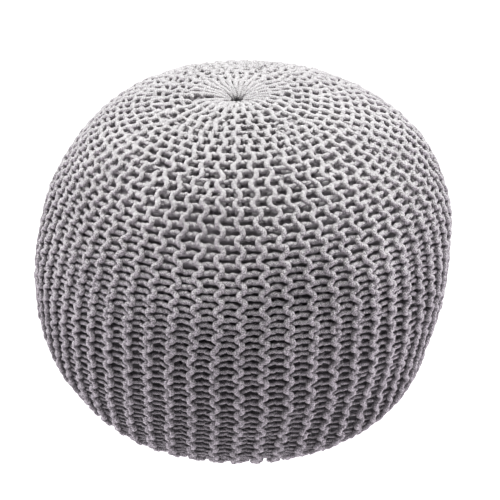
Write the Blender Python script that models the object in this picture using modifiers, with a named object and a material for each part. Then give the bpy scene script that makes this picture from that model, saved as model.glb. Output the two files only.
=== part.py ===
"""Knitted pouf: a filled bag in a thick garter-stitch cover, drawn up round a small eye on top.

The body is a turned form that stands on a flat base and slumps a little to one side, as a
bag of loose filling does. Each piece is turned upright and then moved by one slump rule.

    knit_cover     the stitched cover, a shell with the eye as its opening
    filled_casing  the filled bag that fills the cover
    crown_tie      the cord ring inside the eye that holds the crown stitches together

Units are metres, +Z is up, and the origin is at the bottom centre of the whole body's box.
"""

import math

import bpy
import numpy as np

# Turned form, before the slump
BODY_RADIUS = 0.250
BELLY_HEIGHT = 0.200        # the widest ring above the floor
CROWN_RISE = 0.219          # crown above the widest ring, before the dimple
BASE_DROP = 0.223           # depth that the lower curve would reach if no floor cut it
CROWN_FULLNESS = 2.44       # superellipse exponents: 2 is round, more is fuller
BASE_FULLNESS = 2.21
FOOT_HEIGHT = 0.016         # where the lower curve starts to turn under
FOOT_RUN = 0.022            # how far that turn runs in along the floor

# Crown
DIMPLE_RADIUS = 0.036
DIMPLE_DEPTH = 0.009
EYE_RADIUS = 0.0075

# Layers
COVER_THICKNESS = 0.014     # cord on the front and on the back of the stitches
CASING_CLEARANCE = 0.0005   # narrows to 0.3 mm where the outlines crowd together at the foot
TIE_CLEARANCE = 0.0003
TIE_CORD_RADIUS = 0.0016

# Slump, as shares of the full height
CROWN_LEAN_X = -0.086       # the crown ends up this far to -X
BELLY_LEAN_X = -0.037       # the middle goes this much further to -X
SWAY_X = -0.018             # upper half one way, lower half the other
CROWN_LEAN_Y = 0.034
# Slump of a level ring at mid height
BELLY_TILT = 0.091          # slope, high on the +X side
BELLY_SADDLE = -0.018       # how far both X sides hang

# Mesh density
SIDES = 48
CROWN_RINGS = 5
UPPER_RINGS = 9
LOWER_RINGS = 8
FOOT_RINGS = 4
TIE_SEGMENTS = 20
TIE_SIDES = 8
MERGE_DISTANCE = 0.0001

FULL_HEIGHT = BELLY_HEIGHT + CROWN_RISE
COLLECTION_NAME = "knitted_pouf"


def clear_scene():
    """Remove every object of the start-up scene."""
    for old in list(bpy.data.objects):
        bpy.data.objects.remove(old, do_unlink=True)


def make_material(name, colour, roughness):
    """Return a plain Principled material."""
    material = bpy.data.materials.new(name)
    material.use_nodes = True
    shader = material.node_tree.nodes["Principled BSDF"]
    shader.inputs["Base Color"].default_value = (*colour, 1.0)
    shader.inputs["Roughness"].default_value = roughness
    shader.inputs["Metallic"].default_value = 0.0
    return material


def superellipse_points(angles, rise, fullness):
    """Radii and heights from the belly of a superellipse quarter, at polar angles."""
    across = np.abs(np.cos(angles)) / BODY_RADIUS
    up = np.abs(np.sin(angles)) / rise
    reach = (across**fullness + up**fullness) ** (-1.0 / fullness)
    return reach * np.cos(angles), reach * np.sin(angles)


def crown_height(radius):
    """Height of the crown surface at a radius: the superellipse less a smooth dimple."""
    share = 1.0 - (radius / BODY_RADIUS) ** CROWN_FULLNESS
    arch = CROWN_RISE * share ** (1.0 / CROWN_FULLNESS)
    inside = np.clip(1.0 - (radius / DIMPLE_RADIUS) ** 2, 0.0, 1.0)
    return BELLY_HEIGHT + arch - DIMPLE_DEPTH * inside**2


def foot_points():
    """Rings of the quadratic curve on which the lower side turns under and meets the floor."""
    depth = (BELLY_HEIGHT - FOOT_HEIGHT) / BASE_DROP
    share = 1.0 - depth**BASE_FULLNESS
    start = BODY_RADIUS * share ** (1.0 / BASE_FULLNESS)
    slope = start / share * depth ** (BASE_FULLNESS - 1.0) / BASE_DROP
    corner = start - slope * FOOT_HEIGHT
    end = corner - FOOT_RUN
    along = np.linspace(0.0, 1.0, FOOT_RINGS + 1)
    radius = (1 - along) ** 2 * start + 2 * (1 - along) * along * corner + along**2 * end
    height = (1 - along) ** 2 * FOOT_HEIGHT
    return radius, height


def envelope():
    """Outer outline, from the rim of the eye down the side to the middle of the base."""
    crown_r = np.linspace(EYE_RADIUS, DIMPLE_RADIUS, CROWN_RINGS)
    crown_z = crown_height(crown_r)
    first = math.atan2(crown_z[-1] - BELLY_HEIGHT, DIMPLE_RADIUS)
    upper = np.linspace(first, 0.0, UPPER_RINGS + 1)[1:]
    upper_r, upper_z = superellipse_points(upper, CROWN_RISE, CROWN_FULLNESS)
    foot_r, foot_z = foot_points()
    last = math.atan2(BELLY_HEIGHT - FOOT_HEIGHT, foot_r[0])
    lower = np.linspace(0.0, last, LOWER_RINGS + 1)[1:-1]
    lower_r, lower_z = superellipse_points(lower, BASE_DROP, BASE_FULLNESS)
    base_r = np.array([foot_r[-1] / 2, 0.0])
    base_z = np.zeros(2)
    radius = np.concatenate([crown_r, upper_r, lower_r, foot_r, base_r])
    height = np.concatenate(
        [crown_z, BELLY_HEIGHT + upper_z, BELLY_HEIGHT - lower_z, foot_z, base_z]
    )
    return radius, height


def inner_outline(depth):
    """The outline moved square inwards by a depth; its first point keeps its radius."""
    radius, height = envelope()
    along_r = np.gradient(radius)
    along_z = np.gradient(height)
    length = np.hypot(along_r, along_z)
    inner_r = radius + depth * along_z / length
    inner_z = height - depth * along_r / length
    inner_r[0] = radius[0]
    inner_z[0] = height[0] - depth
    inner_r[-1] = 0.0
    return inner_r, inner_z


def turn(name, radius, height):
    """Turn a profile round +Z with a Screw modifier and return the finished mesh.

    The profile lies at +X, and its outer side runs from top to bottom.
    """
    profile = bpy.data.meshes.new(name + "_profile")
    points = [(r, 0.0, z) for r, z in zip(radius.tolist(), height.tolist())]
    edges = [(i, i + 1) for i in range(len(points) - 1)]
    profile.from_pydata(points, edges, [])
    lathe = bpy.data.objects.new(name + "_lathe", profile)
    bpy.context.scene.collection.objects.link(lathe)
    screw = lathe.modifiers.new("Turn", "SCREW")
    screw.axis = "Z"
    screw.angle = math.tau
    screw.steps = SIDES
    screw.render_steps = SIDES
    screw.use_merge_vertices = True
    screw.merge_threshold = MERGE_DISTANCE
    screw.use_smooth_shade = True
    mesh = finished_mesh(lathe, name)
    bpy.data.meshes.remove(profile)
    return mesh


def finished_mesh(source, name):
    """Return the mesh that an object's modifiers give, in world space, and remove the object."""
    depsgraph = bpy.context.evaluated_depsgraph_get()
    mesh = bpy.data.meshes.new_from_object(source.evaluated_get(depsgraph))
    mesh.name = name
    mesh.transform(source.matrix_world)
    bpy.data.objects.remove(source, do_unlink=True)
    return mesh


def slump(points):
    """Lean, sway and tilt upright points; the floor plane stays flat.

    With t the share of the full height, each level ring shifts by lean * t and by
    terms in sin(pi t) and sin(2 pi t), and it tilts and saddles along X by sin(pi t).
    """
    x, y, z = points.T
    share = z / FULL_HEIGHT
    belly = np.sin(math.pi * share)
    sway = np.sin(math.tau * share)
    shift_x = CROWN_LEAN_X * share + BELLY_LEAN_X * belly + SWAY_X * sway
    saddle = BELLY_SADDLE * (x * x / BODY_RADIUS - BODY_RADIUS / 2)
    moved = [
        x + FULL_HEIGHT * shift_x,
        y + FULL_HEIGHT * CROWN_LEAN_Y * share,
        z + (BELLY_TILT * x + saddle) * belly,
    ]
    return np.stack(moved, axis=1)


def mesh_points(mesh):
    """Return a mesh's points as an array of rows."""
    flat = np.empty(len(mesh.vertices) * 3)
    mesh.vertices.foreach_get("co", flat)
    return flat.reshape(-1, 3)


def set_mesh_points(mesh, points):
    """Write an array of rows back as the mesh's points."""
    mesh.vertices.foreach_set("co", points.ravel())
    mesh.update()


def box_centre(points):
    """Return the middle of the points' box in X and Y, at floor level."""
    middle = (points.min(axis=0) + points.max(axis=0)) / 2
    middle[2] = 0.0
    return middle


def cover_mesh():
    """The stitched cover: up the inside, over the rim of the eye, and down the outside."""
    outer_r, outer_z = envelope()
    inner_r, inner_z = inner_outline(COVER_THICKNESS)
    radius = np.concatenate([inner_r[::-1], outer_r])
    height = np.concatenate([inner_z[::-1], outer_z])
    return turn("knit_cover", radius, height)


def casing_mesh():
    """The filled bag, just inside the cover and level under the eye."""
    radius, height = inner_outline(COVER_THICKNESS + CASING_CLEARANCE)
    radius = np.concatenate([[0.0], radius])
    height = np.concatenate([[height[0]], height])
    return turn("filled_casing", radius, height)


def tie_mesh():
    """A cord ring against the wall of the eye, half way down it."""
    reach = EYE_RADIUS * math.cos(math.pi / SIDES) - TIE_CLEARANCE
    rim = float(crown_height(np.array(EYE_RADIUS)))
    bpy.ops.mesh.primitive_torus_add(
        major_segments=TIE_SEGMENTS,
        minor_segments=TIE_SIDES,
        major_radius=reach - TIE_CORD_RADIUS,
        minor_radius=TIE_CORD_RADIUS,
        location=(0.0, 0.0, rim - COVER_THICKNESS / 2),
    )
    ring = bpy.context.object
    ring.data.shade_smooth()
    bpy.context.view_layer.update()
    return finished_mesh(ring, "crown_tie")


def place(mesh, points, material, collection):
    """Give a mesh its final points and material, and put it in the collection as a part."""
    set_mesh_points(mesh, points)
    mesh.materials.clear()
    mesh.materials.append(material)
    part = bpy.data.objects.new(mesh.name, mesh)
    collection.objects.link(part)


def main():
    """Build the three pieces in one collection."""
    clear_scene()
    collection = bpy.data.collections.new(COLLECTION_NAME)
    bpy.context.scene.collection.children.link(collection)
    pieces = [
        (cover_mesh(), make_material("cotton_cord", (0.46, 0.45, 0.47), 0.95)),
        (casing_mesh(), make_material("casing_cloth", (0.36, 0.35, 0.37), 0.90)),
        (tie_mesh(), make_material("tie_cord", (0.40, 0.39, 0.41), 0.90)),
    ]
    slumped = [slump(mesh_points(mesh)) for mesh, _ in pieces]
    centre = box_centre(slumped[0])
    for (mesh, material), points in zip(pieces, slumped):
        place(mesh, points - centre, material, collection)


main()
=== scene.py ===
"""Knitted pouf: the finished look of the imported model.

The cover is garter stitch, course by course. Each course is one cord that runs from the eye on
the crown to the eye under the base, and its middle line hooks with those of the courses on
either side. The cord is a tube carried along that line. The lines lie closer together than the
tubes are thick, so neighbouring tubes run through each other. A filled casing shows through
the gaps, and a tie cord holds the crown.
"""

import logging
import math
from dataclasses import dataclass, field
from enum import Enum

import bpy
import numpy as np
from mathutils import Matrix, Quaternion, Vector


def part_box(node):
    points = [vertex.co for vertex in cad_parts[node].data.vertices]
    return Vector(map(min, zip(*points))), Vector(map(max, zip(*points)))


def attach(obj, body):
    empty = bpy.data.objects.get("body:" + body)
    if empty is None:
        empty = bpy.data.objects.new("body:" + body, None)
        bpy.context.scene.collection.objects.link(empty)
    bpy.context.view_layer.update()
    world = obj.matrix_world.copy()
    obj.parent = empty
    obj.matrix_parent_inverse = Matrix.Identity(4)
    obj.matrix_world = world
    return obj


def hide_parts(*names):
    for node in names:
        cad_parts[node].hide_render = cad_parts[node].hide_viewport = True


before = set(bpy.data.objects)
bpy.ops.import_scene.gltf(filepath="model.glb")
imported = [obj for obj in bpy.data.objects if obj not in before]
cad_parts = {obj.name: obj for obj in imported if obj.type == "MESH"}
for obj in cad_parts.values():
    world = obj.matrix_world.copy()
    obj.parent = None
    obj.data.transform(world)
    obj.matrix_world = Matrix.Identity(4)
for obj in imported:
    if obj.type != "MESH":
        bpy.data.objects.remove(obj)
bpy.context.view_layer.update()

LOG = logging.getLogger("knitted_pouf")
MILLIMETRE = 0.001
TAU = math.tau
CORD_MAP = "cord"
CLOTH_MAP = "cloth"
FLAT_MAP = "OFBake"
Colour = tuple[float, float, float]


def smooth_step(value: np.ndarray, low: float, high: float) -> np.ndarray:
    """Ease from 0 at low to 1 at high: 3t^2 - 2t^3, with t the clipped share of the way."""
    share = np.clip((value - low) / (high - low), 0.0, 1.0)
    return share * share * (3.0 - 2.0 * share)


@dataclass(frozen=True)
class Ease:
    """An amount that comes in, or goes, over a stretch of arc length or radius."""

    amount: float
    start: float
    end: float

    def grow(self, value: np.ndarray) -> np.ndarray:
        """Nothing before the stretch and the whole amount after it."""
        return self.amount * smooth_step(value, self.start, self.end)

    def fade(self, value: np.ndarray) -> np.ndarray:
        """The whole amount before the stretch and nothing after it."""
        return self.amount * (1.0 - smooth_step(value, self.start, self.end))


@dataclass(frozen=True)
class Slump:
    """How the filled bag leans, sways and tilts; the floor plane stays flat."""

    full_height: float
    body_radius: float
    crown_lean_x: float = -0.086
    belly_lean_x: float = -0.037
    sway_x: float = -0.018
    crown_lean_y: float = 0.034
    belly_tilt: float = 0.091
    belly_saddle: float = -0.018
    fold_out: float = 0.0075
    fold_in: float = -0.0050
    fold_height: float = 0.092
    fold_reach: float = 0.026
    fold_gap: float = 1.7          # from the outward swell down to the tuck, in reaches
    front_share: float = 1.5       # power that keeps the fold to the front
    least_radius: float = 0.02

    def fold(self, x: np.ndarray, y: np.ndarray, z: np.ndarray) -> np.ndarray:
        """Factor on the radius that makes the front sag over a soft fold above the base.

        With h the height above the fold over its reach, the radius grows by out * exp(-h^2)
        and by in * exp(-2 (h + gap)^2), faded by the cosine of the turn from the front.

        Args:
            x: sideways places.
            y: forward places.
            z: heights.

        Returns:
            The factor at each place.
        """
        radius = np.maximum(np.hypot(x, y), self.least_radius)
        facing = np.clip(-y / radius, 0.0, 1.0) ** self.front_share
        height = (z - self.fold_height) / self.fold_reach
        change = self.fold_out * np.exp(-(height**2))
        change = change + self.fold_in * np.exp(-2.0 * (height + self.fold_gap) ** 2)
        return 1.0 + facing * change / radius

    def move(self, points: np.ndarray) -> np.ndarray:
        """Move upright points to where the slumped bag holds them.

        With t the share of the full height, a level ring shifts by lean * t and by terms in
        sin(pi t) and sin(2 pi t), and it tilts and saddles along X by sin(pi t).

        Args:
            points: array whose last axis is x, y, z.

        Returns:
            The moved points, in an array of the same shape.
        """
        x, y, z = np.moveaxis(points, -1, 0)
        fold = self.fold(x, y, z)
        x, y = x * fold, y * fold
        share = z / self.full_height
        belly = np.sin(math.pi * share)
        sway = np.sin(TAU * share)
        shift_x = self.crown_lean_x * share + self.belly_lean_x * belly + self.sway_x * sway
        saddle = self.belly_saddle * (x * x / self.body_radius - self.body_radius / 2)
        moved = [
            x + self.full_height * shift_x,
            y + self.full_height * self.crown_lean_y * share,
            z + (self.belly_tilt * x + saddle) * belly,
        ]
        return np.stack(moved, axis=-1)


@dataclass(frozen=True)
class Body:
    """The turned form under the slump, given by its outline from the crown to the base."""

    radius: float = 0.250
    belly_height: float = 0.200
    crown_rise: float = 0.219
    base_drop: float = 0.223
    crown_fullness: float = 2.44
    base_fullness: float = 2.21
    foot_height: float = 0.016
    foot_run: float = 0.022
    dimple_radius: float = 0.027
    dimple_depth: float = 0.0045
    rows: int = 1400

    def slump(self) -> Slump:
        """Return the slump that goes with this form."""
        return Slump(self.belly_height + self.crown_rise, self.radius)

    def crown(self) -> tuple[np.ndarray, np.ndarray]:
        """The outline over the crown: a superellipse quarter less a smooth dimple.

        With a the angle, the reach is ((cos a / radius)^p + (sin a / rise)^p)^(-1/p); inside
        the dimple's radius R the height drops by depth * (1 - (r / R)^2)^2.

        Returns:
            Radii and heights.
        """
        angle = np.linspace(math.pi / 2, 0.0, self.rows)
        across = np.cos(angle) / self.radius
        up = np.sin(angle) / self.crown_rise
        power = self.crown_fullness
        reach = (across**power + up**power) ** (-1.0 / power)
        radius = reach * np.cos(angle)
        inside = np.clip(1.0 - (radius / self.dimple_radius) ** 2, 0.0, 1.0)
        height = self.belly_height + reach * np.sin(angle) - self.dimple_depth * inside**2
        return radius, height

    def lower_side(self) -> tuple[np.ndarray, np.ndarray]:
        """The lower superellipse, down to where it starts to turn under.

        At a depth d below the belly, over the drop, the radius is R * (1 - d^p)^(1/p).

        Returns:
            Radii and heights.
        """
        height = np.linspace(self.belly_height, self.foot_height, self.rows)[1:]
        depth = (self.belly_height - height) / self.base_drop
        radius = self.radius * (1.0 - depth**self.base_fullness) ** (1.0 / self.base_fullness)
        return radius, height

    def foot(self, start: float, slope: float) -> tuple[np.ndarray, np.ndarray]:
        """A quadratic curve that turns the side under, then the flat base to its middle.

        Args:
            start: radius at which the turn starts.
            slope: change of radius for each metre down, at that point.

        Returns:
            Radii and heights.
        """
        corner = start - slope * self.foot_height
        end = corner - self.foot_run
        along = np.linspace(0.0, 1.0, self.rows // 4)[1:]
        turn_r = (1 - along) ** 2 * start + 2 * (1 - along) * along * corner + along**2 * end
        turn_z = (1 - along) ** 2 * self.foot_height
        flat_r = np.linspace(end, 0.0, self.rows // 2)[1:]
        return np.concatenate([turn_r, flat_r]), np.concatenate([turn_z, 0.0 * flat_r])

    def outline(self) -> tuple[np.ndarray, np.ndarray]:
        """Join the outline from the middle of the crown to the middle of the base.

        Returns:
            Radii and heights.
        """
        crown_r, crown_z = self.crown()
        side_r, side_z = self.lower_side()
        slope = (side_r[-2] - side_r[-1]) / (side_z[-2] - side_z[-1])
        foot_r, foot_z = self.foot(side_r[-1], slope)
        return np.concatenate([crown_r, side_r, foot_r]), np.concatenate([crown_z, side_z, foot_z])

    def centre(self) -> np.ndarray:
        """Find the middle of the slumped form's box, which the model's origin is under.

        Returns:
            Its x and y, at floor level.
        """
        radius, height = self.outline()
        turns, skip = 240, 7
        turn = np.linspace(0.0, TAU, turns, endpoint=False)
        ring = np.stack([np.cos(turn), np.sin(turn), 0.0 * turn], axis=-1)
        radius, height = (line[::skip, None, None] for line in (radius, height))
        points = radius * ring + height * np.array([0, 0, 1.0])
        moved = self.slump().move(points).reshape(-1, 3)
        middle = (moved.min(axis=0) + moved.max(axis=0)) / 2
        middle[2] = 0.0
        return middle


@dataclass(frozen=True)
class Layer:
    """A surface at a depth inside the body, with its ends turned in at the two eyes.

    Its outline is kept as a table against arc length s, from inside the crown's eye to inside
    the base's eye, with the outward normal at each entry.
    """

    body: Body
    depth: float
    eye_radius: float
    lip_radius: float
    eye_depth: float
    flare: float = 0.0
    softening: float = 0.003
    step: float = 0.0005
    lip_rows: int = 60

    def table(self) -> dict[str, np.ndarray]:
        """Work out the outline: the body's, moved in by the depth, between the eyes' walls.

        Returns:
            Arc length s, radius r, height z and normal nr, nz.
        """
        outer_r, outer_z = self.body.outline()
        along_r, along_z = np.gradient(outer_r), np.gradient(outer_z)
        length = np.hypot(along_r, along_z)
        inner_r = outer_r + self.depth * along_z / length
        inner_z = outer_z - self.depth * along_r / length
        start = self.eye_radius + self.lip_radius
        kept = (inner_r > start) & (np.abs(outer_r) > start)
        inner_r, inner_z = inner_r[kept], inner_z[kept]
        top_r, top_z = self.funnel(inner_z[0], -1.0)
        base_r, base_z = self.funnel(inner_z[-1], 1.0)
        radius = np.concatenate([top_r, inner_r, base_r[::-1]])
        height = np.concatenate([top_z, inner_z, base_z[::-1]])
        return self.evened(radius, height)

    def funnel(self, rim: float, way: float) -> tuple[np.ndarray, np.ndarray]:
        """The wall of an eye, then a quarter circle over its lip.

        Args:
            rim: height of the surface at the outer end of the lip.
            way: -1 for an eye that goes down, 1 for one that goes up.

        Returns:
            Radii and heights, from inside the eye outwards.
        """
        wall = np.linspace(self.eye_depth, self.lip_radius, self.lip_rows)
        flare = self.flare * (wall - self.lip_radius) / self.eye_depth
        turn = np.linspace(0.0, math.pi / 2, self.lip_rows)[1:]
        radius = np.concatenate(
            [self.eye_radius + flare, self.eye_radius + self.lip_radius * (1 - np.cos(turn))]
        )
        drop = np.concatenate([wall, self.lip_radius * (1 - np.sin(turn))])
        return radius, rim + way * drop

    def evened(self, radius: np.ndarray, height: np.ndarray) -> dict[str, np.ndarray]:
        """Resample an outline evenly by arc length and soften its corners.

        Args:
            radius: radii along the outline.
            height: heights along the outline.

        Returns:
            The table, after a running mean over the softening length.
        """
        length = np.concatenate([[0.0], np.cumsum(np.hypot(np.diff(radius), np.diff(height)))])
        even = np.arange(0.0, length[-1], self.step)
        width = 2 * int(self.softening / self.step) + 1
        kernel = np.hanning(width + 2)[1:-1]
        kernel = kernel / kernel.sum()
        padded = [
            np.pad(np.interp(even, length, line), width // 2, mode="reflect", reflect_type="odd")
            for line in (radius, height)
        ]
        soft_r, soft_z = (np.convolve(line, kernel, mode="valid") for line in padded)
        along_r, along_z = np.gradient(soft_r), np.gradient(soft_z)
        size = np.hypot(along_r, along_z)
        arc = np.concatenate([[0.0], np.cumsum(np.hypot(np.diff(soft_r), np.diff(soft_z)))])
        return {"s": arc, "r": soft_r, "z": soft_z, "nr": -along_z / size, "nz": along_r / size}


@dataclass(frozen=True)
class Surface:
    """Turns places on a layer into points of the slumped body."""

    table: dict[str, np.ndarray]
    slump: Slump
    centre: np.ndarray

    @classmethod
    def of(cls, layer: Layer) -> "Surface":
        """Work out the tables of a layer once and keep them."""
        return cls(layer.table(), layer.body.slump(), layer.body.centre())

    @property
    def length(self) -> float:
        """Arc length from one end of the outline to the other."""
        return float(self.table["s"][-1])

    def radius(self, along: np.ndarray) -> np.ndarray:
        """Radius of the upright layer at an arc length."""
        return np.interp(along, self.table["s"], self.table["r"])

    def points(self, along: np.ndarray, turn: np.ndarray, rise: np.ndarray) -> np.ndarray:
        """Points at an arc length, a turn about the axis and a rise off the layer.

        The upright point is (r + rise * nr) out from the axis and (z + rise * nz) up; the
        slump then moves it.

        Args:
            along: arc lengths.
            turn: angles about +Z from +X.
            rise: distances outwards along the normal.

        Returns:
            Points, with x, y, z on a new last axis.
        """
        read = {key: np.interp(along, self.table["s"], self.table[key]) for key in self.table}
        out = read["r"] + rise * read["nr"]
        up = read["z"] + rise * read["nz"]
        upright = np.stack([out * np.cos(turn), out * np.sin(turn), up], axis=-1)
        return self.slump.move(upright) - self.centre

    def normals(self, along: np.ndarray, turn: np.ndarray) -> np.ndarray:
        """Outward directions, from points a millimetre either side of the layer.

        Args:
            along: arc lengths.
            turn: angles about +Z from +X.

        Returns:
            Unit directions, with x, y, z on a new last axis.
        """
        rise = np.full(np.broadcast(along, turn).shape, MILLIMETRE)
        across = self.points(along, turn, rise) - self.points(along, turn, -rise)
        return across / np.linalg.norm(across, axis=-1, keepdims=True)


@dataclass(frozen=True)
class Ripple:
    """A smooth, seeded unevenness over the body: a sum of waves, whole ones round it."""

    seed: int
    size: float
    waves: int = 14
    most_turns: int = 9
    shortest: float = 0.09

    def read(self, along: np.ndarray, turn: np.ndarray) -> np.ndarray:
        """Sum sin(n * turn + k * along + phase) over the waves, scaled to the size.

        Args:
            along: arc lengths.
            turn: angles about +Z from +X.

        Returns:
            The unevenness at each place.
        """
        draw = np.random.default_rng(self.seed)
        total = np.zeros(np.broadcast(along, turn).shape)
        for _ in range(self.waves):
            around = draw.integers(-self.most_turns, self.most_turns + 1)
            pitch = draw.uniform(-1.0, 1.0) * TAU / self.shortest
            total = total + np.sin(around * turn + pitch * along + draw.uniform(0.0, TAU))
        return total * self.size / math.sqrt(self.waves / 2)


class Side(Enum):
    """Which face of the knit a boundary's loops lie on."""

    RIDGE = 0
    VALLEY = 1


class Reach(Enum):
    """How far a ridge goes towards the eyes; the value is the radius that it ends at."""

    FULL = 0.0
    MIDDLE = 0.057
    SHORT = 0.120


@dataclass(frozen=True)
class Stitch:
    """Sizes of the garter stitch.

    A course's cord goes round the foot of each stitch, up one leg, round the head and down the
    other leg. Where two courses meet, the heads of one and the feet of the next hook round each
    other: all in front on a ridge, all behind in a valley. The middle lines of the cords hook;
    the tubes round them overlap.
    """

    cord_diameter: float = 0.0054
    ridge_rise: float = 0.0035     # loops in front of the middle of the knit
    valley_drop: float = 0.0040    # loops behind it
    ridge_swing: float = 0.0030    # loops to either side of their ridge
    valley_swing: float = 0.0042   # and of their valley
    ridge_hook: float = 0.0008     # shift of a hooked cord's middle line to its side
    valley_hook: float = 0.0007
    thin_leg: float = 0.94         # girth of a stretched leg against a loop's

    def from_ridge(self) -> np.ndarray:
        """Lay out half a stitch, from the middle of a foot on a ridge to a head in a valley.

        Returns:
            A row for each station: place along the course in stitches, a length to add to it,
            share of the way across the course, a length to add to that, rise and girth.
        """
        ridge, valley = self.ridge_swing, self.valley_swing
        up, down = self.ridge_rise, self.valley_drop
        clasp, rung, thin = self.ridge_hook, self.valley_hook, self.thin_leg
        return np.array(
            [
                [-0.500, 0.0, 0.0, -ridge, up, 1.0],
                [-0.380, 0.0, 0.0, -0.92 * ridge, 0.98 * up, 1.0],
                [-0.295, 0.0, 0.0, -0.42 * ridge, 0.88 * up, 1.0],
                [-0.250, clasp, 0.0, 0.0, 0.45 * up, 0.95],
                [-0.215, 0.0, 0.0, 0.80 * ridge, -0.20 * up, thin],
                [-0.228, -0.3 * rung, 0.30, 0.0, -0.18 * down, thin],
                [-0.250, -rung, 1.0, -0.35 * valley, -0.38 * down, thin],
                [-0.236, -rung, 1.0, 0.50 * valley, -0.80 * down, 0.8 * thin],
                [0.0, 0.0, 1.0, 0.8 * valley, -2.4 * down, 0.6 * thin],
            ]
        )

    def whole(self, feet: Side) -> np.ndarray:
        """Lay out a whole stitch, without the foot that it shares with the next.

        A course with its feet in a valley is the other kind turned half a turn.

        Args:
            feet: the side that the stitch's feet lie on.

        Returns:
            Rows as from_ridge gives them.
        """
        half = self.from_ridge()
        if feet is Side.VALLEY:
            half = half[::-1] * np.array([-1, -1, -1, -1, 1, 1]) + np.array([-0.5, 0, 1, 0, 0, 0])
        mirrored = half[-2:0:-1] * np.array([-1, -1, 1, 1, 1, 1])
        return np.concatenate([half, mirrored])


@dataclass(frozen=True)
class NodeKit:
    """Short calls for the nodes that the finishes use."""

    tree: bpy.types.NodeTree

    def add(self, kind: str, **settings: object) -> bpy.types.Node:
        """Add a node.

        Args:
            kind: the node's type.
            settings: properties to set on it.

        Returns:
            The node.
        """
        node = self.tree.nodes.new(kind)
        for key, value in settings.items():
            setattr(node, key, value)
        return node

    def feed(self, socket: bpy.types.NodeSocket, value: object) -> None:
        """Link a socket, or set it.

        Args:
            socket: the input.
            value: an output to link to it, or a constant.
        """
        if isinstance(value, bpy.types.NodeSocket):
            self.tree.links.new(value, socket)
        else:
            socket.default_value = value

    def maths(self, operation: str, *values: object) -> bpy.types.NodeSocket:
        """Add a Math node.

        Args:
            operation: what it works out.
            values: its inputs in order, sockets or numbers.

        Returns:
            Its result.
        """
        node = self.add("ShaderNodeMath", operation=operation)
        for socket, value in zip(node.inputs, values):
            self.feed(socket, value)
        return node.outputs[0]

    def split(self, name: str) -> tuple[bpy.types.NodeSocket, ...]:
        """Read a UV map.

        Args:
            name: the map.

        Returns:
            Its two directions, as numbers.
        """
        node = self.add("ShaderNodeSeparateXYZ")
        self.feed(node.inputs[0], self.add("ShaderNodeUVMap", uv_map=name).outputs["UV"])
        return tuple(node.outputs)[:2]

    def noise(self, scale: float, detail: float) -> bpy.types.NodeSocket:
        """Add a noise on Object coordinates.

        Args:
            scale: its lumps to a metre.
            detail: its octaves.

        Returns:
            Its value.
        """
        node = self.add("ShaderNodeTexNoise")
        self.feed(node.inputs["Vector"], self.add("ShaderNodeTexCoord").outputs["Object"])
        node.inputs["Scale"].default_value = scale
        node.inputs["Detail"].default_value = detail
        return node.outputs[0]

    def tint(self, value: bpy.types.NodeSocket, stops: list[tuple[float, Colour]]) -> None:
        """Colour the shader by a two-stop ramp.

        Args:
            value: where to read the ramp.
            stops: place and colour of each stop.
        """
        node = self.add("ShaderNodeValToRGB")
        self.feed(node.inputs[0], value)
        for element, (place, colour) in zip(node.color_ramp.elements, stops):
            element.position = place
            element.color = (*colour, 1.0)
        shader = self.tree.nodes["Principled BSDF"]
        self.feed(shader.inputs["Base Color"], node.outputs[0])

    def bump(self, height: bpy.types.NodeSocket, strength: float, distance: float) -> None:
        """Roughen the shader by a height.

        Args:
            height: the height, from 0 to about 1.
            strength: share of the bump that is used.
            distance: depth that a height of 1 stands for, in metres.
        """
        node = self.add("ShaderNodeBump")
        node.inputs["Strength"].default_value = strength
        node.inputs["Distance"].default_value = distance
        self.feed(node.inputs["Height"], height)
        shader = self.tree.nodes["Principled BSDF"]
        self.feed(shader.inputs["Normal"], node.outputs["Normal"])


def plain_material(name: str, constants: dict[str, object]) -> bpy.types.Material:
    """Make a material with one shader.

    Args:
        name: the material's name.
        constants: what to set on the shader's sockets.

    Returns:
        The material.
    """
    material = bpy.data.materials.new(name)
    material.use_nodes = True
    shader = material.node_tree.nodes["Principled BSDF"]
    for socket, value in constants.items():
        shader.inputs[socket].default_value = value
    return material


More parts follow.
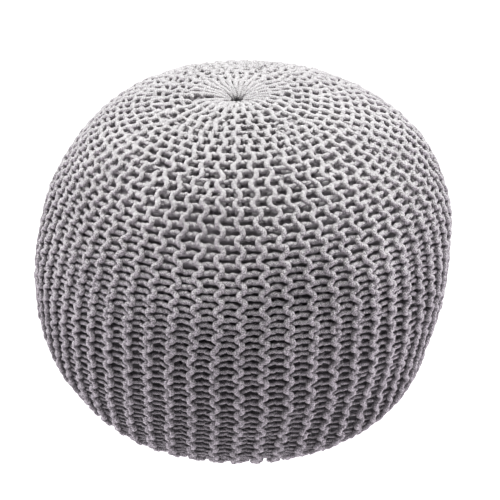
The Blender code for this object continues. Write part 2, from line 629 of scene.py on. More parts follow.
@dataclass(frozen=True)
class CordFinish:
    """Matt cotton cord, knitted as a fine tube, in heather grey."""

    name: str
    light: Colour = (0.375, 0.352, 0.372)
    dark: Colour = (0.125, 0.115, 0.125)
    stops: tuple[float, float] = (0.38, 0.64)         # tones of the dark and the light colour
    ribs: float = 5.0              # ribs of the braid round the cord
    braid_rate: float = 420.0      # its stitches to a metre of cord
    slant: float = 1.6             # how far a rib's stitch leans, in stitches
    braid_mix: float = 0.20        # how much the braid counts against the fibre
    fibre_scale: float = 520.0
    groove_shade_mix: tuple[float, float] = (0.75, -0.125)  # painted shade from the relief, darker in the grooves: slope and start
    heather_scale: float = 900.0
    heather_mix: float = 0.50
    broad_scale: float = 14.0
    broad_mix: float = 0.20        # half of it darkens and half lightens
    bump_strength: float = 0.9
    bump_depth: float = 0.0009

    def make(self) -> bpy.types.Material:
        """Build the material from the cord's own map: around it, and along it in metres.

        The braid is sin(2 pi (rate * along + slant * fold)), with fold going to and fro across
        each rib; fibre, heather and broad noises are added to it. The braid and the fibre also
        darken
        the tone where they are low: painted shade in the braid's grooves, with a random speckle.

        Returns:
            The material.
        """
        material = plain_material(
            self.name,
            {
                "Roughness": 0.95,
                "Sheen Weight": 0.12,
                "Sheen Roughness": 0.6,
                "Specular IOR Level": 0.25,
            },
        )
        nodes = NodeKit(material.node_tree)
        around, along = nodes.split(CORD_MAP)
        fold = nodes.maths("PINGPONG", nodes.maths("MULTIPLY", around, self.ribs), 0.5)
        braid = nodes.maths("MULTIPLY", along, self.braid_rate)
        phase = nodes.maths("ADD", braid, nodes.maths("MULTIPLY", fold, self.slant))
        wave = nodes.maths("SINE", nodes.maths("MULTIPLY", phase, TAU))
        fibre = nodes.noise(self.fibre_scale, detail=1.0)
        heather = nodes.noise(self.heather_scale, detail=1.0)
        broad = nodes.noise(self.broad_scale, detail=2.0)
        height = nodes.maths("ADD", nodes.maths("MULTIPLY", wave, self.braid_mix), fibre)
        # painted shade: the tone is darker where the braid and the fibre are low, as in the
        # braid's grooves; the fibre also gives a random speckle
        tone = nodes.maths("MULTIPLY_ADD", height, *self.groove_shade_mix)
        tone = nodes.maths("ADD", tone, nodes.maths("MULTIPLY", heather, self.heather_mix))
        patches = nodes.maths("MULTIPLY_ADD", broad, self.broad_mix, -self.broad_mix / 2)
        tone = nodes.maths("ADD", tone, patches)
        nodes.tint(tone, list(zip(self.stops, (self.dark, self.light))))
        nodes.bump(height, self.bump_strength, self.bump_depth)
        return material


@dataclass(frozen=True)
class ClothFinish:
    """Plain woven cotton of the casing, with painted light over the crown and painted shade down
    the body.
    """

    name: str
    # painted light and shade: the light colour shows over the crown, the near-black dark one down
    # the body
    light: Colour = (0.61, 0.575, 0.61)
    dark: Colour = (0.045, 0.042, 0.045)
    stops: tuple[float, float] = (0.12, 1.0)       # tones of the dark and the light colour
    warp_threads: float = 900.0    # to a metre, as is the next
    weft_threads: float = 1100.0
    weave_mix: float = 0.06
    patch_scale: float = 60.0
    patch_mix: float = 0.24
    # painted light: the pale tone of the cloth over the crown
    painted_crown_light: float = 0.86
    painted_shade_fall: tuple[float, float] = (-5.4, 1.71)     # painted shade: the tone falls down the cloth; slope, and at the pole
    softening: float = 0.2         # of the bend where the painted shade starts
    painted_eye_light: tuple[float, float] = (-4.0, 0.44)   # painted light added close to the crown's eye
    bump_strength: float = 0.35
    bump_depth: float = 0.0003

    def make(self) -> bpy.types.Material:
        """Build the material from the cloth's own map: around it and along it in metres.

        Fine crossed threads, sin * sin, lie over painted light and shade: a tone that falls
        straight from the crown's pale one to the dark one down the body, with painted light added
        close to the crown's eye, and a broad noise.

        Returns:
            The material.
        """
        material = plain_material(self.name, {"Roughness": 0.9, "Specular IOR Level": 0.2})
        nodes = NodeKit(material.node_tree)
        across, along = nodes.split(CLOTH_MAP)
        warp = nodes.maths("SINE", nodes.maths("MULTIPLY", across, TAU * self.warp_threads))
        weft = nodes.maths("SINE", nodes.maths("MULTIPLY", along, TAU * self.weft_threads))
        weave = nodes.maths("MULTIPLY", warp, weft)
        # painted shade falls down the body from the pale crown; painted light is added by the
        # crown's eye
        shaded_tone = nodes.maths("MULTIPLY_ADD", along, *self.painted_shade_fall)
        base = nodes.maths("SMOOTH_MIN", shaded_tone, self.painted_crown_light, self.softening)
        eye_light_tone = nodes.maths("MAXIMUM", nodes.maths("MULTIPLY_ADD", along, *self.painted_eye_light), 0.0)
        base = nodes.maths("ADD", base, eye_light_tone)
        tone = nodes.maths("MULTIPLY_ADD", weave, self.weave_mix, base)
        patches = nodes.noise(self.patch_scale, detail=3.0)
        tone = nodes.maths("MULTIPLY_ADD", patches, self.patch_mix, tone)
        nodes.tint(tone, list(zip(self.stops, (self.dark, self.light))))
        nodes.bump(weave, self.bump_strength, self.bump_depth)
        return material


def grid_faces(rows: int, columns: int, wraps: bool) -> np.ndarray:
    """Corner numbers of the quads of a grid, by rows.

    Args:
        rows: number of rows of points.
        columns: number of points in a row.
        wraps: whether the last column joins the first.

    Returns:
        One line of four corners for each quad.
    """
    row = np.arange(rows - 1)[:, None]
    column = np.arange(columns if wraps else columns - 1)[None, :]
    ahead = (column + 1) % columns
    corners = [row * columns + column, row * columns + ahead]
    corners += [(row + 1) * columns + ahead, (row + 1) * columns + column]
    return np.stack([np.broadcast_to(c, corners[0].shape) for c in corners], -1).reshape(-1, 4)


def make_piece(name: str, points: np.ndarray, faces: list, maps: dict[str, np.ndarray],
               material: bpy.types.Material) -> bpy.types.Object:
    """Make a smooth mesh object at the origin.

    Args:
        name: the object's name.
        points: its points, a row each.
        faces: corner numbers of each face.
        maps: for each UV map, a row for each face corner in order.
        material: its only material.

    Returns:
        The linked object.
    """
    mesh = bpy.data.meshes.new(name)
    mesh.from_pydata(points, [], faces)
    for label, corners in maps.items():
        layer = mesh.uv_layers.new(name=label)
        layer.data.foreach_set("uv", corners.astype(np.float32).ravel())
    mesh.shade_smooth()
    mesh.materials.append(material)
    piece = bpy.data.objects.new(name, mesh)
    bpy.context.scene.collection.objects.link(piece)
    return piece


@dataclass(frozen=True)
class Tube:
    """A cord's cross-section and how it is carried along a path."""

    diameter: float
    sides: int = 6

    def rings(self, path: np.ndarray, outward: np.ndarray, swell: np.ndarray) -> np.ndarray:
        """Carry a circle along paths.

        With t the path's direction, n the outward direction of the knit there, b = t x n made
        a unit and u = b x t, a ring's point is path + radius * (cos a * b + sin a * u).

        Args:
            path: points, as courses by stations by x, y, z.
            outward: unit outward directions in the same layout.
            swell: factor on the radius, as courses by stations.

        Returns:
            Points, as courses by stations by sides by x, y, z.
        """
        along = np.gradient(path, axis=1)
        along = along / np.linalg.norm(along, axis=-1, keepdims=True)
        across = np.cross(along, outward)
        across = across / np.linalg.norm(across, axis=-1, keepdims=True)
        up = np.cross(across, along)
        angle = np.arange(self.sides) * TAU / self.sides
        cos, sin = np.cos(angle)[:, None], np.sin(angle)[:, None]
        ring = across[:, :, None, :] * cos + up[:, :, None, :] * sin
        return path[:, :, None, :] + ring * (self.diameter / 2 * swell)[:, :, None, None]


def tube_faces(used: np.ndarray, sides: int) -> tuple[np.ndarray, np.ndarray]:
    """Faces of tubes that are each used over one run of their stations, closed at both ends.

    Args:
        used: whether each station is used, as tubes by stations.
        sides: sides of a tube.

    Returns:
        Corner numbers of the quads along the tubes, and of the two end faces of each.
    """
    tubes, stations = used.shape
    first = np.arange(tubes) * stations
    quads = grid_faces(stations, sides, wraps=True) + first[:, None, None] * sides
    quads = quads.reshape(tubes, stations - 1, sides, 4)[used[:, 1:] & used[:, :-1]]
    begin = np.argmax(used, axis=1)
    end = stations - 1 - np.argmax(used[:, ::-1], axis=1)
    ring = np.arange(sides)
    starts = ((first + begin) * sides)[:, None] + ring[::-1]
    ends = ((first + end) * sides)[:, None] + ring
    return quads, np.concatenate([starts, ends])


@dataclass(frozen=True)
class Relief:
    """How deep the knit is worked from place to place: it is stretched flat over the crown."""

    top: float                                   # rise of the loops on a ridge
    crown: float = 0.16                          # share of the full relief there
    shoulder: Ease = Ease(0.16, 0.12, 0.22)      # by arc length, as is the next
    full: Ease = Ease(1.0, 0.13, 0.34)
    valley: Ease = Ease(1.0, 0.0046, 0.0066)     # by depth: a valley's loops stay deep
    in_eye: float = 0.25
    from_eye: Ease = Ease(0.75, 0.012, 0.045)    # by radius

    def read(self, rise: np.ndarray, radius: np.ndarray, along: np.ndarray) -> np.ndarray:
        """Lift the cords that lie behind the ridges: top - (top - rise) * share.

        Args:
            rise: rises of the full relief.
            radius: radii there.
            along: arc lengths there.

        Returns:
            Rises, with the tops of the ridges left in place, drawn flat in the eyes.
        """
        full = np.maximum(self.full.grow(along), self.valley.grow(-rise))
        crown = self.crown + self.shoulder.grow(along)
        share = crown + (1.0 - crown) * full
        return (self.top - (self.top - rise) * share) * (self.in_eye + self.from_eye.grow(radius))


@dataclass(frozen=True)
class Girth:
    """How thick the cord lies from place to place, against its own diameter."""

    in_eye: float = 0.72
    from_eye: Ease = Ease(0.48, 0.006, 0.038)    # by radius
    shoulder: Ease = Ease(0.18, 0.09, 0.24)      # thinner, by arc length, as are the next
    belly_rung: Ease = Ease(0.13, 0.30, 0.42)
    foot_rung: Ease = Ease(0.17, 0.40, 0.47)
    crown_rung: Ease = Ease(0.30, 0.07, 0.15)
    upper_rung: Ease = Ease(0.05, 0.17, 0.23)    # thicker, as are the ridges' loops below
    upper_end: Ease = Ease(1.0, 0.28, 0.36)
    past_spokes: Ease = Ease(1.0, 0.035, 0.085)  # by radius
    loop: Ease = Ease(0.11, 0.12, 0.22)
    back: Ease = Ease(1.0, 0.12, 0.24)           # the back of the crown is knitted closer
    back_sine: tuple[float, float] = (-0.2, 0.7)
    back_rung: float = 0.8
    back_loop: float = 0.05
    chance: float = 0.03

    def read(self, girth: np.ndarray, is_rung: np.ndarray, radius: np.ndarray,
             along: np.ndarray, turn: np.ndarray) -> np.ndarray:
        """Thin or thicken the cord by where it lies.

        Args:
            girth: the stitch's own girth at each station.
            is_rung: whether the station lies behind the ridges.
            radius: radii there.
            along: arc lengths there.
            turn: angles about +Z there.

        Returns:
            Factors on the cord's diameter.
        """
        girth = girth * (self.in_eye + self.from_eye.grow(radius))
        girth = girth * (1.0 - self.shoulder.grow(along))
        girth = girth - (self.belly_rung.grow(along) + self.foot_rung.grow(along)) * is_rung
        slim = self.crown_rung.fade(along)
        slim = slim - self.upper_rung.grow(along) * self.upper_end.fade(along)
        dense = smooth_step(np.sin(turn), *self.back_sine) * self.back.fade(along)
        slim = 1.0 - slim * self.past_spokes.grow(radius) * (1.0 - self.back_rung * dense)
        full = 1.0 + self.loop.grow(along) + self.back_loop * dense
        return girth * np.where(is_rung, slim, full)


@dataclass
class KnitCover:
    """The cover: all its courses of cord, in a few sector pieces.

    Two courses make a ridge. Round the body the ridges repeat in wedges; some of a wedge's
    ridges are short rows, which stop before the eyes, where there is less room.
    """

    body: Body
    stitch: Stitch = field(default_factory=Stitch)
    girth: Girth = field(default_factory=Girth)
    wedges: int = 7
    first_turn: float = -math.pi / 2
    seed: int = 41
    depth: float = 0.0063
    eye_radius: float = 0.0088
    lip_radius: float = 0.0030
    eye_depth: float = 0.020
    eye_flare: float = 0.014
    eye_stitch: float = 0.0290
    stitch_changes: tuple[tuple[float, float, float], ...] = (
        (0.0215, 0.020, 0.100),    # crown: the new length, and the stretch it comes in over
        (0.0143, 0.130, 0.325),    # belly
        (0.0166, 0.320, 0.380),    # lower side
        (0.0185, 0.420, 0.520),    # base
    )
    uneven_ends: float = 0.10      # share that the ends of short ridges differ by
    ending: tuple[float, float] = (-0.006, 0.040)  # stretch a short ridge widens over
    ending_steepness: float = 1.15
    ending_depth: float = 0.008
    dive: Ease = Ease(0.0050, 0.0078, 0.0182)      # every other full ridge, in the eyes; by radius
    parted_ridge: int = 49         # the ridge that lies low beside the crown's eye
    parting: Ease = Ease(0.0075, 0.015, 0.019)     # by radius
    parting_end: Ease = Ease(1.0, 0.050, 0.054)
    eye_swing: float = 0.10        # share of the swing left in the eyes
    near_swing: Ease = Ease(0.26, 0.010, 0.030)    # by radius
    tight_spacing: float = 0.0040  # of ridges, where they stop swinging
    spacing_range: float = 0.0125
    short_swing: float = 0.3
    arch: float = 0.0019
    crown_arch: float = 0.3
    belly_arch: Ease = Ease(0.7, 0.18, 0.32)
    lower_arch: Ease = Ease(0.7, 0.33, 0.43)
    drift: Ease = Ease(0.030, 0.08, 0.47)
    drift_end: float = 0.48
    base_turn: Ease = Ease(-0.14, 0.40, 0.60)
    eye_shift: Ease = Ease(-0.002, 0.010, 0.060)   # by radius
    chance: tuple[float, float, float] = (0.0006, 0.0004, 0.0004)   # along, across and out
    ripples: tuple[float, float, float] = (0.0011, 0.0008, 0.0008)  # likewise
    rippled: Ease = Ease(1.0, 0.02, 0.08)          # by radius
    least_radius: float = 0.010    # sideways lengths are turned into angles on at least this
    ripple_radius: float = 0.05    # and ripples on at least this
    floor_share: float = 0.58      # of the cord's diameter, kept between its middle and the floor
    surface: Surface = field(init=False)

    def __post_init__(self) -> None:
        """Work out the layer that the middle of the knit lies on."""
        eye = (self.eye_radius, self.lip_radius, self.eye_depth, self.eye_flare)
        self.surface = Surface.of(Layer(self.body, self.depth, *eye))

    @property
    def wedge(self) -> tuple[Reach, ...]:
        """The reach of each ridge of a wedge."""
        full, middle, short = Reach.FULL, Reach.MIDDLE, Reach.SHORT
        return (full, middle, full, short, full, middle, full, short, middle)

    @property
    def ridges(self) -> int:
        """Number of ridges round the body."""
        return self.wedges * len(self.wedge)

    @property
    def courses(self) -> int:
        """Number of courses round the body."""
        return 2 * self.ridges

    def stitch_lengths(self, along: np.ndarray) -> np.ndarray:
        """Change the length of a stitch from one part of the body to the next.

        Args:
            along: arc lengths.

        Returns:
            Lengths: long at the ends, shortest over the belly.
        """
        before = self.eye_stitch
        length = np.full(np.shape(along), before)
        for after, start, end in self.stitch_changes:
            length = length + (after - before) * smooth_step(along, start, end)
            before = after
        return length

    def stitch_scale(self) -> tuple[np.ndarray, np.ndarray]:
        """Count stitches from the crown's eye to the base's, a whole number in all.

        Returns:
            Arc lengths, and the stitches counted at each.
        """
        along = self.surface.table["s"]
        lengths = self.stitch_lengths(along)
        steps = np.diff(along) * 2 / (lengths[1:] + lengths[:-1])
        count = np.concatenate([[0.0], np.cumsum(steps)])
        return along, count * round(count[-1]) / count[-1]

    def ridge_ends(self, along: np.ndarray, count: np.ndarray) -> np.ndarray:
        """First and last stitch count of each ridge, from the radius it ends at.

        Args:
            along: arc lengths of the stitch scale.
            count: stitches counted at them.

        Returns:
            Whole numbers, a row for each ridge, a little uneven.
        """
        radius = self.surface.radius(along)
        widest = int(np.argmax(radius))
        limits = np.array([reach.value for reach in self.wedge * self.wedges])
        draw = np.random.default_rng(self.seed + 9)
        limits = limits * (1.0 + draw.uniform(-self.uneven_ends, self.uneven_ends, self.ridges))
        first = np.interp(limits, radius[:widest], count[:widest])
        last = np.interp(limits, radius[:widest:-1], count[:widest:-1])
        short = limits > 0.0
        first = np.where(short, np.rint(first), 0)
        last = np.where(short, np.rint(last), round(count[-1]))
        return np.stack([first, last], -1)

    def ridge_widths(self, along: np.ndarray, ends: np.ndarray) -> np.ndarray:
        """Share of a full width that each ridge has at arc lengths, from 0 to 1.

        Args:
            along: arc lengths.
            ends: arc lengths that each ridge ends at.

        Returns:
            Shares, as ridges by arc lengths.
        """
        start, stop = ends[:, :1], ends[:, 1:]
        opening = np.where(start > 0.0, smooth_step(along - start, *self.ending), 1.0)
        whole = stop >= self.surface.length - MILLIMETRE
        closing = np.where(whole, 1.0, smooth_step(stop - along, *self.ending))
        return opening * closing

    def layout(self, along: np.ndarray, across: np.ndarray, radius: np.ndarray,
               stops: np.ndarray) -> tuple[np.ndarray, np.ndarray, np.ndarray]:
        """Turn of each station about the axis and the room for its ridge.

        Every wedge keeps its share of the turn; inside it the courses share the room by width.

        Args:
            along: arc lengths, as courses by stations.
            across: share of the way across the course.
            radius: radii there.
            stops: arc lengths that each ridge ends at.

        Returns:
            Turns, the usual spacing of ridges and the ridge's share of it, in the same layout.
        """
        each = self.courses // self.wedges
        course = np.arange(self.courses)
        turn, spacing, share = (np.empty(along.shape) for _ in range(3))
        for kind in (0, 1):
            width = self.ridge_widths(along[kind], stops).repeat(2, 0)
            wedge = width.reshape(self.wedges, each, -1)
            total = wedge.sum(axis=1).repeat(each, 0)
            before = (np.cumsum(wedge, axis=1) - wedge).reshape(width.shape)
            mine = course % 2 == kind
            part = (before + across * width - 1.0) / total
            first = (course // each)[:, None]
            turn[mine] = (self.first_turn + TAU * (first + part) / self.wedges)[mine]
            spacing[mine] = (2 * TAU * radius / total / self.wedges)[mine]
            share[mine] = width[mine]
        return turn, spacing, share

    def lattice(self, size: float, stitches: int, layer: int) -> np.ndarray:
        """Seeded chance offsets where courses meet: a row a boundary, two columns a stitch."""
        draw = np.random.default_rng(self.seed + layer)
        return draw.normal(0.0, size, (self.courses, 2 * stitches + 1))

    def read_lattice(self, values: np.ndarray, boundary: np.ndarray,
                     count: np.ndarray) -> np.ndarray:
        """Read a lattice, straight from one boundary to the next and wrapping round.

        Args:
            values: the lattice.
            boundary: where to read it, in courses.
            count: where to read it, in stitches.

        Returns:
            The offset at each place.
        """
        low = np.floor(boundary).astype(int)
        part = boundary - low
        column = np.clip(np.rint(2 * count).astype(int), 0, values.shape[1] - 1)
        here = values[low % self.courses, column]
        ahead = values[(low + 1) % self.courses, column]
        return here * (1 - part) + ahead * part

    def sinking(self, radius: np.ndarray, width: np.ndarray, ends: np.ndarray) -> np.ndarray:
        """How far each course's cord sinks.

        It sinks at the ends of short rows, by turns in the eyes, and along the parted ridge.

        Args:
            radius: radii at the stations, as courses by stations.
            width: share of a full ridge's width there.
            ends: arc lengths that each course ends at.

        Returns:
            Depths below its usual place.
        """
        courses, stations = radius.shape
        ending = np.clip(self.ending_steepness * (1.0 - width), 0.0, 1.0)
        is_full = ends[:, :1] <= 0.0
        order = np.cumsum(is_full[::2, 0]) % 2
        dives = np.repeat(order, 2)[:, None] * is_full
        parted = np.arange(courses)[:, None] // 2 == self.parted_ridge
        parted = parted & (np.arange(stations) < stations // 2)
        gap = self.parting.grow(radius) * self.parting_end.fade(radius)
        return self.ending_depth * ending + dives * self.dive.fade(radius) + parted * gap

    def uneven(self, place: np.ndarray, turn: np.ndarray, rise: np.ndarray,
               radius: np.ndarray) -> tuple[np.ndarray, np.ndarray, np.ndarray]:
        """Add a smooth seeded ripple each way, outside the eyes.

        Args:
            place: arc lengths.
            turn: angles about +Z.
            rise: rises off the layer.
            radius: radii there.

        Returns:
            The three moved.
        """
        fade = self.rippled.grow(radius)
        along, across, out = (
            Ripple(self.seed + 20 + 10 * number, size) for number, size in enumerate(self.ripples)
        )
        place = place + fade * along.read(place, turn)
        arm = np.maximum(radius, self.ripple_radius)
        turn = turn + fade * across.read(place, turn) / arm
        return place, turn, rise + fade * out.read(place, turn)

    def slide(self, along: np.ndarray, turn: np.ndarray) -> np.ndarray:
        """Slide the stitches down the body on its right side and up on its left.

        Args:
            along: arc lengths.
            turn: angles about +Z.

        Returns:
            What to add to the arc lengths: a sine of the turn, most at the lower side.
        """
        end = self.surface.length - self.eye_depth
        amount = self.drift.grow(along) * (1.0 - smooth_step(along, self.drift_end, end))
        return amount * np.sin(turn - self.first_turn)

    def paths(self) -> dict[str, np.ndarray]:
        """Work out every course's path.

        The stitch's rows are repeated down each course; their lengths are added to the arc
        length and the turn that the station has, and the rises are read off the layer.

        Returns:
            Points, outward directions, girth and whether the station is used, as courses by
            stations, and the count of stitches at each station of a course.
        """
        along_table, count_table = self.stitch_scale()
        stitches = int(round(count_table[-1]))
        kinds = np.stack([self.stitch.whole(feet) for feet in (Side.VALLEY, Side.RIDGE)])
        rows = np.tile(kinds, (self.ridges, stitches, 1))
        share, add_along, across, add_across, rise, girth = np.moveaxis(rows, -1, 0)
        stitch = np.repeat(np.arange(stitches), kinds.shape[1])
        count = stitch + 0.5 + share
        along = np.interp(count, count_table, along_table)
        radius = self.surface.radius(along)
        course = np.arange(self.courses)[:, None]
        ends = self.ridge_ends(along_table, count_table)
        used = (stitch >= ends[:, :1].repeat(2, 0)) & (stitch < ends[:, 1:].repeat(2, 0))
        stops = np.interp(ends, count_table, along_table)
        turn, spacing, width = self.layout(along, across, radius, stops)
        least = self.eye_swing + self.near_swing.grow(radius)
        swing = np.clip((spacing - self.tight_spacing) / self.spacing_range, least, 1.0)
        swing = swing * (self.short_swing + (1.0 - self.short_swing) * width)
        offsets = [
            self.read_lattice(self.lattice(size, stitches, layer), course + across - 1.0, count)
            for layer, size in enumerate(self.chance)
        ]
        sideways = (add_across + offsets[1]) * swing
        turn = turn + sideways / np.maximum(radius, self.least_radius)
        turn = turn + self.base_turn.grow(along)
        past_ridge = np.where(course % 2 == 0, 1.0 - across, across)
        arch = self.arch * (self.crown_arch + self.belly_arch.grow(along)) * swing
        arch = arch * (1.0 - self.lower_arch.grow(along))
        place = along + add_along * swing + offsets[0] - arch * (1.0 - (1.0 - past_ridge) ** 3)
        is_rung = rise < 0.0
        rise = Relief(self.stitch.ridge_rise).read(rise, radius, along) + offsets[2]
        place, turn, rise = self.uneven(place, turn, rise, radius)
        rise = rise - self.sinking(radius, width, stops.repeat(2, 0))
        place = place + self.slide(place, turn)
        girth = self.girth.read(girth, is_rung, radius, along, turn)
        draw = np.random.default_rng(self.seed + 50)
        girth = girth * (1.0 + draw.normal(0.0, self.girth.chance, girth.shape))
        points = self.surface.points(place, turn, rise)
        on_crown = along < self.surface.length / 2
        points[..., 1] += self.eye_shift.fade(radius) * on_crown
        floor = self.stitch.cord_diameter * self.floor_share
        points[..., 2] = np.maximum(points[..., 2], floor)
        outward = self.surface.normals(place, turn)
        return {"points": points, "outward": outward, "girth": girth, "used": used, "count": count}

    def corner_maps(self, length: np.ndarray, count: np.ndarray,
                    sides: int) -> dict[str, np.ndarray]:
        """UV corners of the quads of some courses, as courses by stations by sides by corners.

        Args:
            length: length along each course at each station.
            count: stitches counted there.
            sides: sides of the tube.

        Returns:
            The cord's map, around and along in metres, and a flat layout with a cell a stitch.
        """
        courses, stations = count.shape
        stitches = int(round(count[0, -1] + 0.5))
        turn = np.arange(sides + 1) / sides
        around = np.stack([turn[:-1], turn[1:], turn[1:], turn[:-1]], -1)
        around = np.broadcast_to(around, (courses, stations - 1, sides, 4))
        ahead = np.array([0, 0, 1, 1])
        station = np.arange(stations - 1)
        along = np.broadcast_to(length[:, station[:, None] + ahead][:, :, None, :], around.shape)
        cell = np.minimum(station * stitches // (stations - 1), stitches - 1)
        start = station - np.searchsorted(cell, cell)
        size = np.bincount(cell, minlength=stitches)[cell]
        share = (start[:, None] + ahead) / size[:, None]
        number = np.arange(courses)[:, None] * stitches + cell[None, :]
        columns = 16
        lines = math.ceil(courses * stitches / columns)
        flat_u = ((number % columns)[:, :, None, None] + share[None, :, None, :]) / columns
        flat_v = ((number // columns)[:, :, None, None] + around) / lines
        flat_u = np.broadcast_to(flat_u, around.shape)
        return {FLAT_MAP: np.stack([flat_u, flat_v], -1), CORD_MAP: np.stack([around, along], -1)}

    def build(self, material: bpy.types.Material) -> list[bpy.types.Object]:
        """Sweep the cord along each course and join the courses of a wedge in one piece.

        Args:
            material: the cord's material.

        Returns:
            The pieces, one for each wedge.
        """
        found = self.paths()
        tube = Tube(self.stitch.cord_diameter)
        rings = tube.rings(found["points"], found["outward"], found["girth"])
        steps = np.linalg.norm(np.diff(found["points"], axis=1), axis=-1)
        length = np.concatenate([np.zeros((self.courses, 1)), np.cumsum(steps, axis=1)], axis=1)
        each = self.courses // self.wedges
        pieces = []
        for wedge in range(self.wedges):
            own = slice(wedge * each, (wedge + 1) * each)
            used = found["used"][own]
            quads, caps = tube_faces(used, tube.sides)
            corners = np.concatenate([quads.ravel(), caps.ravel()])
            old, new = np.unique(corners, return_inverse=True)
            faces = new[: quads.size].reshape(-1, 4).tolist()
            faces += new[quads.size :].reshape(-1, tube.sides).tolist()
            maps = self.corner_maps(length[own], found["count"][own], tube.sides)
            kept = used[:, 1:] & used[:, :-1]
            flat = np.zeros((caps.size, 2))
            maps = {
                key: np.concatenate([corner[kept].reshape(-1, 2), flat])
                for key, corner in maps.items()
            }
            points = rings[own].reshape(-1, 3)[old]
            pieces.append(make_piece(f"knit_wedge_{wedge + 1}", points, faces, maps, material))
        return pieces


@dataclass
class FilledCasing:
    """The filled bag inside the cover, which shows where the stitches are open."""

    body: Body
    depth: float = 0.0180
    lip_radius: float = 0.030      # both ends of the cloth turn in to a point
    eye_depth: float = 0.0301
    lumps: Ripple = Ripple(77, 0.0007, most_turns=14, shortest=0.06)
    crown_lift: Ease = Ease(0.0090, 0.20, 0.35)
    base_lift: Ease = Ease(0.0040, 0.40, 0.46)
    rows: int = 110
    columns: int = 144
    surface: Surface = field(init=False)

    def __post_init__(self) -> None:
        """Work out the layer that the casing's cloth lies on."""
        pole = (0.0, self.lip_radius, self.eye_depth)
        self.surface = Surface.of(Layer(self.body, self.depth, *pole))

    def build(self, material: bpy.types.Material) -> bpy.types.Object:
        """Make a grid over arc length and turn, closed at both poles by a point.

        Args:
            material: the cloth's material.

        Returns:
            The piece.
        """
        rows, length = self.rows - 2, self.surface.length
        along = np.linspace(0.0, length, self.rows)[1:-1, None]
        turn = np.linspace(0.0, TAU, self.columns, endpoint=False)[None, :]
        rise = self.lumps.read(along, turn)
        rise = rise + self.crown_lift.fade(along) + self.base_lift.grow(along)
        grid = self.surface.points(along, turn, rise)
        poles = self.surface.points(np.array([0.0, length]), np.zeros(2), np.zeros(2))
        points = np.concatenate([grid.reshape(-1, 3), poles])
        quads = grid_faces(rows, self.columns, wraps=True)[:, ::-1]
        column = np.arange(self.columns)
        ahead = (column + 1) % self.columns
        top = np.full(self.columns, len(points) - 2)
        last = (rows - 1) * self.columns
        crown_fan = np.stack([column, ahead, top], -1)
        base_fan = np.stack([last + ahead, last + column, top + 1], -1)
        fans = np.concatenate([crown_fan, base_fan])
        down = np.append(np.repeat(along[:, 0], self.columns), [0.0, length])
        around = np.append(np.tile(turn[0] * self.body.radius, rows), [0.0, 0.0])
        corners = np.concatenate([quads.ravel(), fans.ravel()])
        uv = np.stack([around[corners], down[corners]], -1)
        faces = quads.tolist() + fans.tolist()
        return make_piece("filled_bag", points, faces, {CLOTH_MAP: uv}, material)


@dataclass(frozen=True)
class CrownTie:
    """The cord ring inside the crown's eye."""

    cord_diameter: float = 0.0024
    sides: int = 10
    ring_radius: float = 0.0036
    uneven: float = 0.05           # share of the radius
    warp: float = 0.0006
    segments: int = 96

    def build(self, material: bpy.types.Material) -> bpy.types.Object:
        """Carry a tube round a slightly uneven ring at the middle of the CAD tie.

        With a the turn, the ring's radius is R * (1 + uneven * sin 3a), at warp * sin 2a up.

        Args:
            material: the tie's material.

        Returns:
            The piece.
        """
        low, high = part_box("crown_tie")
        middle = (np.array(low) + np.array(high)) / 2
        turn = np.linspace(0.0, TAU, self.segments, endpoint=False)
        radius = self.ring_radius * (1 + self.uneven * np.sin(3 * turn))
        rise = self.warp * np.sin(2 * turn)
        path = np.stack([radius * np.cos(turn), radius * np.sin(turn), rise], -1) + middle
        padded = np.concatenate([path[-1:], path, path[:2]])[None]
        upward = np.broadcast_to([0.0, 0.0, 1.0], padded.shape)
        tube = Tube(self.cord_diameter, self.sides)
        rings = tube.rings(padded, upward, np.ones(padded.shape[:2]))[0, 1:-2]
        faces = grid_faces(self.segments + 1, self.sides, wraps=True)
        corners = faces.ravel()
        around = corners % self.sides / self.sides
        along = corners // self.sides * TAU * self.ring_radius / self.segments
        maps = {CORD_MAP: np.stack([around, along], -1)}
        faces = (faces % (self.segments * self.sides)).tolist()
        return make_piece("crown_tie_cord", rings.reshape(-1, 3), faces, maps, material)


@dataclass(frozen=True)
class Lamp:
    """A square soft light."""

    name: str
    place: tuple[float, float, float]
    aim: tuple[float, float, float]
    size: float
    power: float
    tint: Colour = (1.0, 0.96, 1.015)

    def build(self) -> None:
        """Add the light at its place, turned to its aim."""
        light = bpy.data.lights.new(self.name, "AREA")
        light.shape = "SQUARE"
        light.size = self.size
        light.energy = self.power
        light.color = self.tint
        lamp = bpy.data.objects.new(self.name, light)
        lamp.location = self.place
        way = Vector(self.place) - Vector(self.aim)
        lamp.rotation_euler = way.to_track_quat("Z", "Y").to_euler()
        bpy.context.scene.collection.objects.link(lamp)


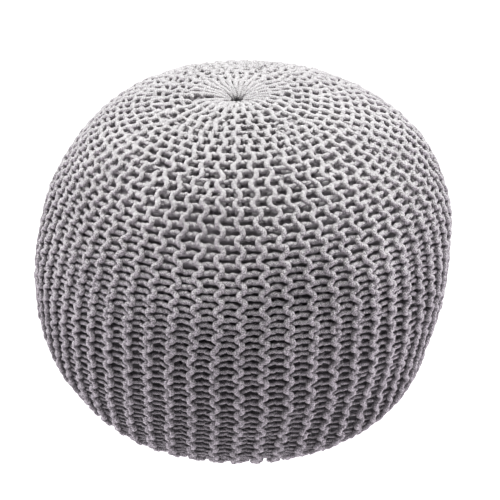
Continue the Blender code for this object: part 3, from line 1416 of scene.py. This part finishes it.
@dataclass(frozen=True)
class Studio:
    """Floor, lights, surround, tone response and camera."""

    centre: np.ndarray
    elevation: float = 34.56
    distance: float = 1.180
    roll: float = 0.49
    sensor: float = 36.0
    focal_share: float = 1.950     # focal length over the sensor's width
    target_x: float = -0.0219
    target_z: float = 0.2154
    floor_reach: float = 24.0
    floor_glow: float = 1.62
    surround_light: float = 0.07
    surround_seen: float = 1.13    # what the camera sees of the surround on top of that
    brightest: float = 0.95
    tones: tuple[tuple[float, float], ...] = ((0.25, 0.25), (0.50, 0.555), (0.75, 0.775))
    lamps: tuple[Lamp, ...] = (
        Lamp("overhead", (0.08, 0.90, 2.6), (0.0, 0.0, 0.2), 3.1, 325.0, (1.0, 1.035, 0.985)),
        Lamp("front", (0.15, -2.3, 0.25), (0.0, 0.0, 0.1), 0.9, 11.0),
        Lamp("left", (-2.4, -0.10, 0.30), (0.0, 0.0, 0.15), 1.1, 68.0),
        Lamp("right", (2.4, 0.0, 0.45), (0.0, 0.0, 0.15), 1.1, 60.0),
    )

    def floor(self) -> None:
        """Lay a wide, flat floor that glows nearly white."""
        constants = {
            "Base Color": (0.08, 0.08, 0.08, 1.0),
            "Emission Color": (1.0, 0.965, 1.01, 1.0),
            "Emission Strength": self.floor_glow,
            "Roughness": 0.8,
        }
        corner = np.array([[-1, -1, 0], [1, -1, 0], [1, 1, 0], [-1, 1, 0]]) * self.floor_reach
        material = plain_material("studio_floor", constants)
        piece = make_piece("studio_floor", corner, [[0, 1, 2, 3]], {}, material)

    def surround(self) -> None:
        """Make a world that is white where it is seen and otherwise lights only a little."""
        world = bpy.data.worlds.new("surround")
        world.use_nodes = True
        background = world.node_tree.nodes["Background"]
        background.inputs["Color"].default_value = (1.0, 1.0, 1.0, 1.0)
        nodes = NodeKit(world.node_tree)
        seen = nodes.add("ShaderNodeLightPath").outputs["Is Camera Ray"]
        light = nodes.maths("MULTIPLY_ADD", seen, self.surround_seen, self.surround_light)
        nodes.feed(background.inputs["Strength"], light)
        bpy.context.scene.world = world

    def response(self) -> None:
        """Use the plain view transform, with a soft shoulder on its brightest tones."""
        view = bpy.context.scene.view_settings
        view.view_transform = "Standard"
        view.use_curve_mapping = True
        mapping = view.curve_mapping
        mapping.use_clip = False
        mapping.extend = "EXTRAPOLATED"
        points = mapping.curves[3].points
        points[-1].location = (1.0, self.brightest)
        for tone in self.tones:
            points.new(*tone)
        mapping.update()

    def camera(self) -> None:
        """Place the camera at its elevation and distance from the target, with a slight roll."""
        data = bpy.data.cameras.new("camera")
        data.sensor_width = self.sensor
        data.lens = self.sensor * self.focal_share
        data.clip_end = 80.0
        camera = bpy.data.objects.new("camera", data)
        lift = math.radians(self.elevation)
        back = np.array([0.0, -math.cos(lift), math.sin(lift)])
        target = np.array([self.target_x, 0.0, self.target_z]) - self.centre
        camera.location = target + back * self.distance
        look = Vector(-back).to_track_quat("-Z", "Y")
        camera.rotation_mode = "QUATERNION"
        camera.rotation_quaternion = look @ Quaternion((0, 0, 1), -math.radians(self.roll))
        bpy.context.scene.collection.objects.link(camera)
        bpy.context.scene.camera = camera

    def build(self) -> None:
        """Make the floor, the lights, the surround, the tone response and the camera."""
        self.floor()
        for lamp in self.lamps:
            lamp.build()
        self.surround()
        self.response()
        self.camera()


def report(piece: bpy.types.Object) -> None:
    """Log a piece's name and size."""
    mesh = piece.data
    LOG.info("%s: %d points, %d faces", piece.name, len(mesh.vertices), len(mesh.polygons))


def main() -> None:
    """Build the cover, the casing, the tie and the studio, in that order."""
    logging.basicConfig(level=logging.INFO, format="%(message)s")
    body = Body()
    cord = CordFinish("cotton_cord").make()
    for piece in KnitCover(body).build(cord):
        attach(piece, "root")
        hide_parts("knit_cover")
        report(piece)
    casing = FilledCasing(body).build(ClothFinish("casing_cloth").make())
    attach(casing, "root")
    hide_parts("filled_casing")
    report(casing)
    # painted shade: the tie cord is coloured darker than the cover's cord so that the crown's eye
    # reads as shade
    shaded_tie_finish = CordFinish("tie_cord", light=(0.17, 0.16, 0.17), dark=(0.06, 0.055, 0.06))
    tie = CrownTie().build(shaded_tie_finish.make())
    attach(tie, "root")
    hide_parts("crown_tie")
    report(tie)
    Studio(body.centre()).build()


if __name__ == "__main__":
    main()
